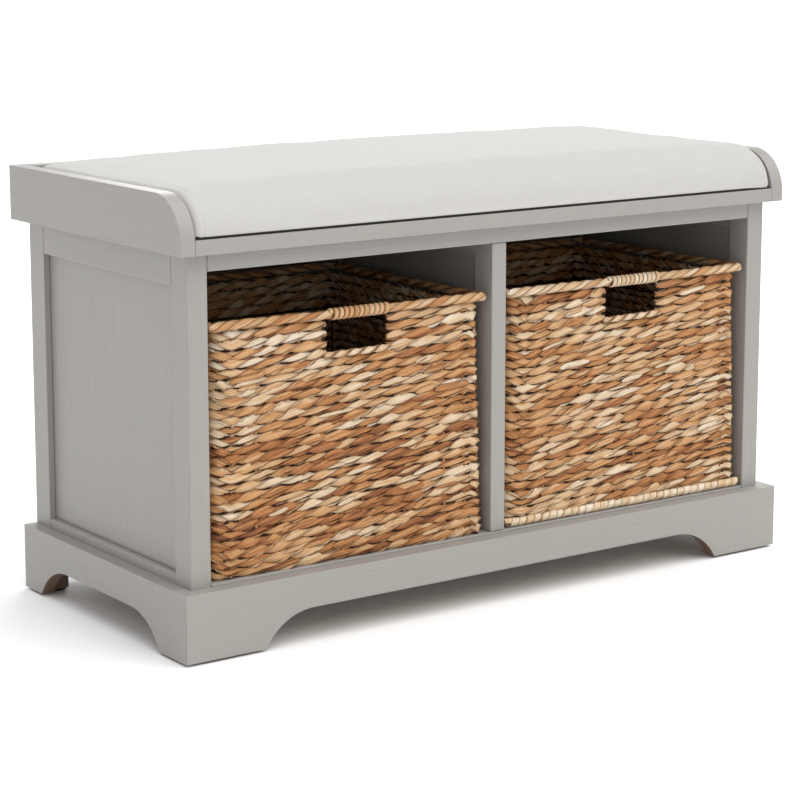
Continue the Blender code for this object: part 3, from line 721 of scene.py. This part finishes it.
def weave_wall(basket, seed, tone_bottom, tone_top):
    """The paths of all rows of a basket, from its bottom up, in three lots."""
    dice = Random(seed)
    top_row = basket.hole_low - HOLE_EDGE
    lower_rows = round((top_row - basket.low) / ROW)
    upper_rows = round((basket.high - top_row) / ROW)
    rows = []
    for first, last, count, closed in ((basket.low, top_row, lower_rows, True),
                                       (top_row, basket.high, upper_rows, False)):
        pitch = (last - first) / count
        for step in range(count):
            height = first + pitch * (step + 0.5)
            share = (height - basket.low) / (basket.high - basket.low)
            bias = tone_bottom + (tone_top - tone_bottom) * share + dice.uniform(-ROW_TONE, ROW_TONE)
            rows.append(weave_row(basket, height, len(rows), dice, pitch / ROW, bias, closed))
    cuts = [round(len(rows) * share / 3) for share in range(4)]
    return [[path for row in rows[low:high] for path in row] for low, high in zip(cuts, cuts[1:])]


for side, plan in WEAVES.items():
    for part, paths in zip(("lower", "middle", "upper"), weave_wall(baskets[side], *plan)):
        draw_strands(side, "weave_" + part, paths, look="weave_" + side, stands_for=["weave"])

# %% [markdown]
# ## Behind the weave
# Between the strips one sees into the shaded middle of the wall. A thin closed sheet stands there, with
# the handle hole left open: it blocks the light, and its dark brown colour is painted shade. Upright stems
# run through it, about 28 mm apart, and a few of them show between the rows. The floor of the basket is
# made of straight rows, side by side.

# %% Dark middle, stems and floor
CORE = 0.0012                   # thickness of the dark sheet
CORE_STEPS = 96
CORE_MARGIN = 0.002             # kept free above and below the sheet
CORE_GAP = 0.0005               # between its two slabs
HOLE_MARGIN = 0.004             # kept free beside the handle hole
STEM_GAP = 0.028
STEM_STEP = 0.016
STEM_MARGIN = 0.003
FLOOR_STEP = 0.006
FLOOR_TOP = 0.004               # where the floor meets the walls
FLOOR_MARGIN = 0.003
FLOOR_CORNER = 0.006            # by which rows at the round corners are shorter
FLOOR_NUMBERS = 9000
FLOOR_BIAS = -0.1               # the floor is a little darker than the walls


def wall_core(basket):
    """Closed slabs in the middle of the wall: one below the handle hole and one beside it."""
    mesh = bpy.data.meshes.new("core")
    form = bmesh.new()

    def ribbon(start, end, low, high, closed):
        rings = []
        for step in range(CORE_STEPS if closed else CORE_STEPS + 1):
            ring = []
            for height, push in ((low, -CORE / 2), (low, CORE / 2), (high, CORE / 2), (high, -CORE / 2)):
                distance = (start + (end - start) * step / CORE_STEPS) * basket.girth(height)
                ring.append(form.verts.new(basket.point(distance, height, push)[0]))
            rings.append(ring)
        pairs = list(zip(rings, rings[1:])) + ([(rings[-1], rings[0])] if closed else [])
        for first, second in pairs:
            for i in range(4):
                j = (i + 1) % 4
                form.faces.new((first[i], first[j], second[j], second[i]))
        if not closed:
            form.faces.new(rings[0])
            form.faces.new(reversed(rings[-1]))

    girth = basket.girth(basket.high)
    edge, shift = (basket.hole_half + HOLE_MARGIN) / girth, basket.hole_shift / girth
    parting = basket.hole_low - CORE_MARGIN
    ribbon(0.0, 1.0, basket.low + CORE_MARGIN, parting, True)
    ribbon(0.5 + edge + shift, 1.5 - edge + shift, parting + CORE_GAP, basket.high - CORE_MARGIN / 2, False)
    bmesh.ops.recalc_face_normals(form, faces=form.faces)
    form.to_mesh(mesh)
    form.free()
    return mesh


def stems(basket):
    """Upright stems in the middle of the wall, all the way round except at the handle hole."""
    girth = basket.girth(basket.low)
    count = round(girth / STEM_GAP)
    start = basket.low + STEM_MARGIN
    paths = []
    for number in range(count):
        low_distance = girth * (number + 0.5) / count
        beside = abs(low_distance - girth / 2 - basket.hole_shift) - basket.hole_half
        end = basket.high - CORE_MARGIN if beside > HOLE_MARGIN else basket.hole_low - STEM_MARGIN
        points = []
        steps = round((end - basket.low) / STEM_STEP)
        for step in range(steps + 1):
            height = start + (end - start) * step / steps
            place, outward = basket.point(low_distance * basket.girth(height) / girth, height)
            points.append((place, outward, (-outward[1], outward[0], 0.0), 0.0, height + number, 1.0, 0.0))
        paths.append((points, False, number))
    return paths


def floor_rows(basket):
    """Straight twisted pairs side by side across the floor of a basket."""
    half_x, half_y = [half - FLOOR_MARGIN for half in basket.half_at(basket.low + FLOOR_TOP)]
    count = round(2 * half_y / ROW)
    paths = []
    for row in range(count):
        y = -half_y + 2 * half_y * (row + 0.5) / count
        reach = half_x - (FLOOR_CORNER if abs(y) > half_y - CORNER else 0.0)
        for strand in (0, 1):
            points = []
            steps = round(2 * reach / FLOOR_STEP)
            for step in range(steps + 1):
                x = -reach + 2 * reach * step / steps
                place = (basket.centre.x + x, basket.centre.y + y, basket.low + WALL_MIDDLE)
                phase = x / TWIST * tau + strand * pi + row * pi / 2
                points.append((place, (0.0, 0.0, -1.0), (0.0, 1.0, 0.0), phase, x + row, 1.0, FLOOR_BIAS))
            paths.append((points, False, FLOOR_NUMBERS + row * 50 + strand * 20))
    return paths


for side, basket in baskets.items():
    draw_strands(side, "stems", stems(basket))
    # The dark middle is coloured with painted shade.
    core = bpy.data.objects.new(f"basket_{side}_dark_middle", wall_core(basket))
    core.data.name = core.name
    core.data.materials.append(shade)
    scene.collection.objects.link(core)
    finish_piece(core, "basket_" + side, "leaf_weave")
    draw_strands(side, "floor", floor_rows(basket))

# %% [markdown]
# ## The rim and its handle
# A bundle of strips lies along the top edge and is wrapped with long slanting turns. Each side has
# its own roll. The front and the back rolls run past the corners with round ends, and the side rolls
# butt against them. Over the handle hole the roll is whipped tightly with a narrow strip, turn by
# turn, so that it is pleasant to hold.

# %% Wrap the rims
FRONTWARD, BACKWARD = (0.0, -1.0, 0.0), (0.0, 1.0, 0.0)
LEFTWARD, RIGHTWARD = (-1.0, 0.0, 0.0), (1.0, 0.0, 0.0)
FRONT_PITCH = 0.070             # length of one slanting turn on the front roll
PITCH = 0.085                   # and on the others
COIL_PITCH = 0.0066             # one turn of the whipping
ROLL_END = 0.45                 # size of a roll at its very end
PLY_SHIFT = 2.3                 # metres along the leaf between two plies
PLY_NUMBERS = 37                # strand numbers left for one ply's tones
UNDER_WHIPPING = 0.004          # how far a front roll goes in under the whipping
RIM_BIAS = {"left": (0.0, 0.0), "right": (0.22, 0.05)}     # of the left half and the right half
COIL_BIAS = {"left": 0.02, "right": 0.28}


def straight_roll(start, end, outward, pitch, plies, number, step, taper, bias):
    """Strands that wind round a straight line, thinner at both ends."""
    start, end = Vector(start), Vector(end)
    length = (end - start).length
    count = max(4, round(length / step))
    paths = []
    for ply in range(plies):
        points = []
        for i in range(count + 1):
            distance = length * i / count
            place = start.lerp(end, i / count)
            nearest = min(distance, length - distance)
            bulge = 1.0 if nearest >= taper else (1 - (1 - nearest / taper) ** 2) ** 0.5
            size = ROLL_END + (1 - ROLL_END) * bulge
            phase = distance / pitch * tau + ply * tau / plies
            points.append((tuple(place), outward, UP, phase, distance + ply * PLY_SHIFT, size, bias))
        paths.append((points, False, number + ply * PLY_NUMBERS))
    return paths


for side, basket in baskets.items():
    (reach_x, reach_y), radius = basket.rim_half, basket.rim_radius
    x, y, z = basket.centre.x, basket.centre.y, basket.rim_middle
    front, back = y - reach_y + radius, y + reach_y - radius
    left, right = x - reach_x, x + reach_x
    hole, grip = basket.hole_half, x + basket.hole_shift
    rolls = []
    halves = ((left, grip - hole + UNDER_WHIPPING), (grip + hole - UNDER_WHIPPING, right))
    for number, (a, b) in enumerate(halves):
        rolls += straight_roll((a, front, z), (b, front, z), FRONTWARD, pitch=FRONT_PITCH, plies=4,
                               number=100 * number, step=0.003, taper=0.005, bias=RIM_BIAS[side][number])
    rolls += straight_roll((left, back, z), (right, back, z), BACKWARD, pitch=PITCH, plies=3, number=300,
                           step=0.004, taper=0.005, bias=0.0)
    for number, (line, outward) in enumerate(((left + radius, LEFTWARD), (right - radius, RIGHTWARD))):
        rolls += straight_roll((line, front + radius, z), (line, back - radius, z), outward, pitch=PITCH,
                               plies=3, number=400 + 100 * number, step=0.004, taper=0.003,
                               bias=RIM_BIAS[side][number])
    draw_strands(side, "rim_wrap", rolls, slot_name="leaf_wrap", stands_for=["rim"])
    coils = straight_roll((grip - hole, front, z), (grip + hole, front, z), FRONTWARD, pitch=COIL_PITCH,
                          plies=1, number=700, step=0.00045, taper=0.001, bias=COIL_BIAS[side])
    draw_strands(side, "handle_whipping", coils, slot_name="leaf_wrap")

# %% [markdown]
# ## Edges and loose strips
# A twisted pair runs along the bottom of each handle hole. The right basket has a pale wrapped roll
# along the bottom of its front, where the left one just ends in its last row. Hand weaving also
# leaves some strips that were laid in afterwards. They lie over the rows and taper to both ends.

# %% Edges and loose strips
LOOSE_PUSH = 0.0034             # how far a loose strip lies in front of the wall's middle
LOOSE_STEP = 0.0035
LOOSE_TAPER = 0.006
LOOSE_END = 0.25                # size of a loose strip at its very end
LOOSE_LENGTHS = (0.022, 0.048)
LOOSE_SIZES = (0.5, 1.0)
LOOSE_SLOPES = (0.06, 0.24)
LOOSE_NUMBERS = 3000
FROM_SIDES, FROM_ENDS = 0.02, 0.012     # kept free of loose strips at the edges of the front
FROM_HOLE = 0.035               # and beside the handle hole
EDGE_FRONT, EDGE_DOWN, EDGE_REACH, EDGE_CLIMB = 0.0040, 0.0018, 0.006, 0.0008   # of the hole's edge
FOOT_FRONT, FOOT_UP, FOOT_ENDS = 0.0015, 0.0052, (0.001, 0.003)     # of the roll along the bottom
LOOSE = {                       # the seed, how many, and the darkest and palest bias
    "left": (4, 40, -0.15, 0.30),
    "right": (5, 44, -0.10, 0.34),
}


def loose_strip(basket, x, length, height, number, bias, size, rise):
    """A strip laid along the front wall from x on, which climbs by its rise."""
    count = max(3, round(length / LOOSE_STEP))
    start = basket.girth(height) / 2 + x
    points = []
    for i in range(count + 1):
        share = i / count
        place, outward = basket.point(start + length * share, height + rise * (share - 0.5), LOOSE_PUSH)
        nearest = min(share, 1 - share) * length
        thin = LOOSE_END + (1 - LOOSE_END) * min(1.0, nearest / LOOSE_TAPER) ** 0.7
        points.append((place, outward, UP, 0.0, share * length + number, size * thin, bias))
    return (points, False, number)


for side, basket in baskets.items():
    seed, count, darkest, palest = LOOSE[side]
    dice = Random(seed)
    half_x = basket.half_at(basket.low)[0]
    strips = []
    while len(strips) < count:
        x = dice.uniform(-half_x + FROM_SIDES, half_x - 3 * FROM_SIDES)
        length = dice.uniform(*LOOSE_LENGTHS)
        height = dice.uniform(basket.low + FROM_ENDS, basket.high - 0.010)
        from_hole = abs(x + length / 2 - basket.hole_shift) - basket.hole_half
        if height > basket.hole_low - FROM_ENDS and from_hole < FROM_HOLE:
            continue
        strips.append(loose_strip(basket, x, length, height, LOOSE_NUMBERS + 11 * len(strips),
                                  dice.uniform(darkest, palest), dice.uniform(*LOOSE_SIZES),
                                  length * dice.uniform(*LOOSE_SLOPES)))
    draw_strands(side, "loose_strips", strips)

    line = basket.centre.y - basket.half_at(basket.hole_low)[1] - EDGE_FRONT
    height = basket.hole_low - EDGE_DOWN
    grip, reach = basket.centre.x + basket.hole_shift, basket.hole_half + EDGE_REACH
    start, end = (grip - reach, line, height), (grip + reach, line, height + EDGE_CLIMB)
    edges = straight_roll(start, end, FRONTWARD, pitch=0.036, plies=2, number=4000, step=0.0035,
                          taper=0.006, bias=0.28)
    draw_strands(side, "hole_edge", edges)

basket = baskets["right"]
half_x, half_y = basket.half_at(basket.low)
line, height = basket.centre.y - half_y - FOOT_FRONT, basket.low + FOOT_UP
left, right = basket.centre.x - half_x - FOOT_ENDS[0], basket.centre.x + half_x + FOOT_ENDS[1]
foot = straight_roll((left, line, height), (right, line, height), FRONTWARD, pitch=0.0110, plies=1,
                     number=5000, step=0.0010, taper=0.003, bias=0.36)
draw_strands("right", "foot_roll", foot, slot_name="leaf_wrap")

# %% [markdown]
# ## Linen
# The cushion's cover is a plain weave of off-white linen-look yarn. Yarns are about 0.5 mm apart on
# the real cloth and are drawn 1.2 mm apart here, so that the weave still shows from a distance. Two
# sets of waves cross: one along the bench and one that follows the cloth over the front edge, because
# height and depth are added together. Linen yarn has slubs, which are short thick places, so a noise
# stretched along each yarn direction makes some threads lighter. A little sheen gives its soft edge.

# %% Linen
YARN = 0.0012
SLUB_LENGTH = 0.022
LINEN = "B0AEAA"
LINEN_SLUB = "B9B7B3"


def linen_weave():
    material, tree, shader = start_material("off-white linen, plain weave", 0.9, Sheen_Weight=0.25,
                                            Sheen_Roughness=0.5, Specular_IOR_Level=0.2)
    place = add(tree, PLACE).outputs["Object"]
    parts = add(tree, SPLIT, (place,)).outputs
    fall = add(tree, "ADD", (parts["Y"], parts["Z"])).outputs[0]
    threads, slubs = [], []
    for number, (fine, coarse) in enumerate(((parts["X"], fall), (fall, parts["X"]))):
        turn = add(tree, "MULTIPLY", (fine, tau / YARN))
        threads.append(add(tree, "SINE", (turn,)))
        narrow = add(tree, "MULTIPLY", (fine, 1 / YARN))
        long = add(tree, "MULTIPLY", (coarse, 1 / SLUB_LENGTH))
        spot = add(tree, JOIN, (narrow, long, number * 7.0))
        slubs.append(add(tree, NOISE, {"Vector": spot, "Scale": 1.0, "Detail": 2.0}))
    cloth = add(tree, "MULTIPLY", threads)
    slub = add(tree, "ADD", slubs)
    tone = add(tree, RANGE, {"Value": slub, "From Min": 0.6, "From Max": 1.4})
    colour = add(tree, MIX, {0: tone, 6: linear(LINEN), 7: linear(LINEN_SLUB)}, data_type="RGBA")
    height = add(tree, "ADD", (cloth, tone))
    relief = add(tree, BUMP, {"Height": height, "Strength": 0.15, "Distance": 0.0002})
    fill(tree, shader, {"Base Color": colour, "Normal": relief})
    return material


linen = linen_weave()
print("yarns on a metre of linen:", round(1 / YARN))

# %% [markdown]
# ## The cushion
# A foam pad is covered with linen, drawn round its edges and stapled to a thin base. It is crowned: a
# few millimetres higher in the middle than at its ends, with a front that falls in one long curve.
# Its form is lofted from cross-sections, each a ring of points, that stand closer together near the
# ends, where the cover turns down and a seam runs across. The loft starts a little small and is then
# inflated as cloth for twenty steps, with its underside held, so that it swells as foam does. How far
# a point may move is capped, so the cushion stays in its tray.

# %% Cushion: the loft
pad_low, pad_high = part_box("cushion_pad")
PAD_HALF = pad_high.x
END_TOP = 0.4955                # height of the cover near its left end
RIGHT_RISE = 0.0030             # how much fuller the right end is
MIDDLE_RISE = 0.0060            # how much higher it is in the middle of the bench
END_ROUND = 0.010
FRONT_FALL = 0.056              # depth of the long curve at the front
REAR_ROUND = 0.024
REAR_CLEAR = 0.0015             # kept free behind the cover
LIP = 0.0014                    # how far the cover hangs in front of the base
LIP_TURN = 0.0016               # from the lip back to the base
LIP_THICK, LIP_ROUND = 0.0012, 0.0003
FRONT_DRAWN, REAR_DRAWN = 0.7, 0.5      # shares of an end's drop by which its front and back draw in
RIGHT_HANG, RIGHT_HANG_REACH = 0.0016, 0.040    # the lip hangs lower at the right end
SEAM = 0.0105                   # from each end of the pad to its seam
GROOVE, GROOVE_HALF = 0.0009, 0.0016    # depth of a seam's groove and half its width
FRONT_STEPS, TOP_STEPS, REAR_STEPS, BASE_STEPS = 14, 46, 6, 10
LENGTH_STEPS = 144
EVEN_FROM = 0.0265              # from each end of the pad to where the even cross-sections start
CLOSE = (0.0, 0.001, 0.0025, 0.0045, 0.0065, 0.0085, 0.0095, 0.0105, 0.0115, 0.0125, 0.0145, 0.018, 0.022)


def pad_ring(x):
    """The points round the cushion's cross-section at x, from its front up over the top and back."""
    from_end = PAD_HALF - abs(x)
    inward = max(0.0, END_ROUND - from_end)
    drop = END_ROUND - (END_ROUND ** 2 - inward ** 2) ** 0.5
    groove = GROOVE * max(0.0, 1 - abs(from_end - SEAM) / GROOVE_HALF)
    share = x / PAD_HALF
    top = END_TOP + MIDDLE_RISE * (1 - share ** 2) + RIGHT_RISE * max(0.0, share) ** 2 - drop - groove
    front = pad_low.y + FRONT_DRAWN * drop + groove
    back = pad_high.y - REAR_CLEAR - REAR_DRAWN * drop
    low = pad_low.z
    ring = []
    for step in range(FRONT_STEPS + 1):
        angle = pi / 2 * step / FRONT_STEPS
        ring.append((front + FRONT_FALL * (1 - cos(angle)), low + (top - low) * sin(angle)))
    first, last = front + FRONT_FALL, back - REAR_ROUND
    ring += [(first + (last - first) * step / TOP_STEPS, top) for step in range(1, TOP_STEPS)]
    for step in range(REAR_STEPS + 1):
        angle = pi / 2 * step / REAR_STEPS
        ring.append((last + REAR_ROUND * sin(angle), top - REAR_ROUND * (1 - cos(angle))))
    ring += [(back, (low + top - REAR_ROUND) / 2), (back, low)]
    base = front + LIP_TURN - back
    ring += [(back + base * step / BASE_STEPS, low) for step in range(1, BASE_STEPS + 1)]
    touch = max(0.0, 1 - from_end / RIGHT_HANG_REACH) if x > 0 else 0.0
    hang = low - LIP - RIGHT_HANG * touch
    ring += [(front + LIP_THICK, hang + LIP_ROUND), (front + LIP_ROUND, hang)]
    return [(x, y, z) for y, z in ring]


def bridge(form, first, second):
    """Faces between two rings of points."""
    for i in range(len(first)):
        j = (i + 1) % len(first)
        form.faces.new((first[i], first[j], second[j], second[i]))


def loft_pad():
    length = 2 * PAD_HALF - 2 * EVEN_FROM
    inner = [PAD_HALF - EVEN_FROM - length * step / LENGTH_STEPS for step in range(LENGTH_STEPS + 1)]
    stations = [PAD_HALF - d for d in CLOSE] + inner + [d - PAD_HALF for d in reversed(CLOSE)]
    form = bmesh.new()
    rings = [[form.verts.new(place) for place in pad_ring(x)] for x in stations]
    for end in (rings[0], rings[-1]):
        middle = sum((vertex.co for vertex in end), Vector()) / len(end)
        inside = [end]
        for share in (0.75, 0.5, 0.25):
            inside.append([form.verts.new(middle.lerp(vertex.co, share)) for vertex in end])
        for outer, inner_ring in zip(inside, inside[1:]):
            bridge(form, outer, inner_ring)
        form.faces.new(inside[-1])
    for first, second in zip(rings, rings[1:]):
        bridge(form, first, second)
    bmesh.ops.recalc_face_normals(form, faces=form.faces)
    mesh = bpy.data.meshes.new("cushion_cover")
    form.to_mesh(mesh)
    form.free()
    pad = bpy.data.objects.new("cushion_cover", mesh)
    scene.collection.objects.link(pad)
    return pad


cover = loft_pad()
print("cushion loft:", len(cover.data.vertices), "points")

# %% [markdown]
# ## The cushion swells
# Cloth with pressure inside it bulges where nothing holds it and is drawn in where it is stitched.
# The seams and the underside are held, so the seams stay low and the panel between them rises.
# Afterwards a slow noise gives the top its shallow dimples, and the form is subdivided once.

# %% Cushion: the swelling
SWELL = 0.0022                  # the most that the cover may rise
CALM_END = 0.07                 # over this length from each end, less
PRESSURE = 4.0
SWELL_STEPS = 20
DIMPLE = 0.0012
DIMPLES, SMALL_DIMPLES = 14.0, 33.0     # in a metre
DIMPLES_FROM = 0.012            # height above the base from which the cover is dimpled
FRONT_SWELL = 0.0008            # the most that the cover may stand out in front
HELD_UP_TO = 0.003              # height above the base up to which the cover is held
SEAM_HELD = 0.0003              # half the width of the line of points held at a seam
CALM = 0.15                     # share of the swelling that is left at the very ends


def bake_modifiers(obj):
    """Replaces an object's mesh with what its modifiers make of it."""
    bpy.context.view_layer.update()
    evaluated = obj.evaluated_get(bpy.context.evaluated_depsgraph_get())
    mesh = bpy.data.meshes.new_from_object(evaluated)
    mesh.name = obj.name
    obj.modifiers.clear()
    obj.data = mesh


def swell(pad):
    """Inflates the pad as cloth, with its underside and seams held, and caps how far each point moves."""
    start = [vertex.co.copy() for vertex in pad.data.vertices]
    held = pad.vertex_groups.new(name="held")
    firm = [i for i, place in enumerate(start)
            if place.z < pad_low.z + HELD_UP_TO or abs(PAD_HALF - abs(place.x) - SEAM) < SEAM_HELD]
    held.add(firm, 1.0, "REPLACE")
    cloth = pad.modifiers.new("cloth", "CLOTH")
    settings = cloth.settings
    settings.use_pressure = True
    settings.uniform_pressure_force = PRESSURE
    settings.vertex_group_mass = "held"
    settings.effector_weights.gravity = 0.0
    for step in range(1, SWELL_STEPS + 1):
        scene.frame_set(step)
    bake_modifiers(pad)
    pad.vertex_groups.clear()
    for vertex, before in zip(pad.data.vertices, start):
        move = vertex.co - before
        limit = SWELL * min(1.0, CALM + (PAD_HALF - abs(before.x)) / CALM_END)
        if move.length > limit:
            vertex.co = before + move.normalized() * limit
    scene.frame_set(1)


swell(cover)
for vertex in cover.data.vertices:
    place = vertex.co
    dimple = DIMPLE * (noise.noise(place * DIMPLES) + 0.5 * noise.noise(place * SMALL_DIMPLES))
    if place.z > pad_low.z + DIMPLES_FROM:
        place.z += dimple
    place.x = max(pad_low.x, min(pad_high.x, place.x))
    place.y = max(pad_low.y - FRONT_SWELL, min(pad_high.y, place.y))
fine = cover.modifiers.new("fine", "SUBSURF")
fine.levels = fine.render_levels = 1
bake_modifiers(cover)
cover.data.materials.append(linen)
for face in cover.data.polygons:
    face.use_smooth = True
finish_piece(cover, "cushion", "linen", "cushion_pad")
print("cushion top at", round(1000 * max(vertex.co.z for vertex in cover.data.vertices), 1), "mm")

# %% [markdown]
# ## Sizes and the end
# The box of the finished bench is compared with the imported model's box. Only cloth may stand a little
# proud of it.

# %% Check the size and finish
now_low, now_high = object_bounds()
growth = (now_high - now_low) - (cad_high - cad_low)
print("grown by, in millimetres:", [round(1000 * size, 1) for size in growth])
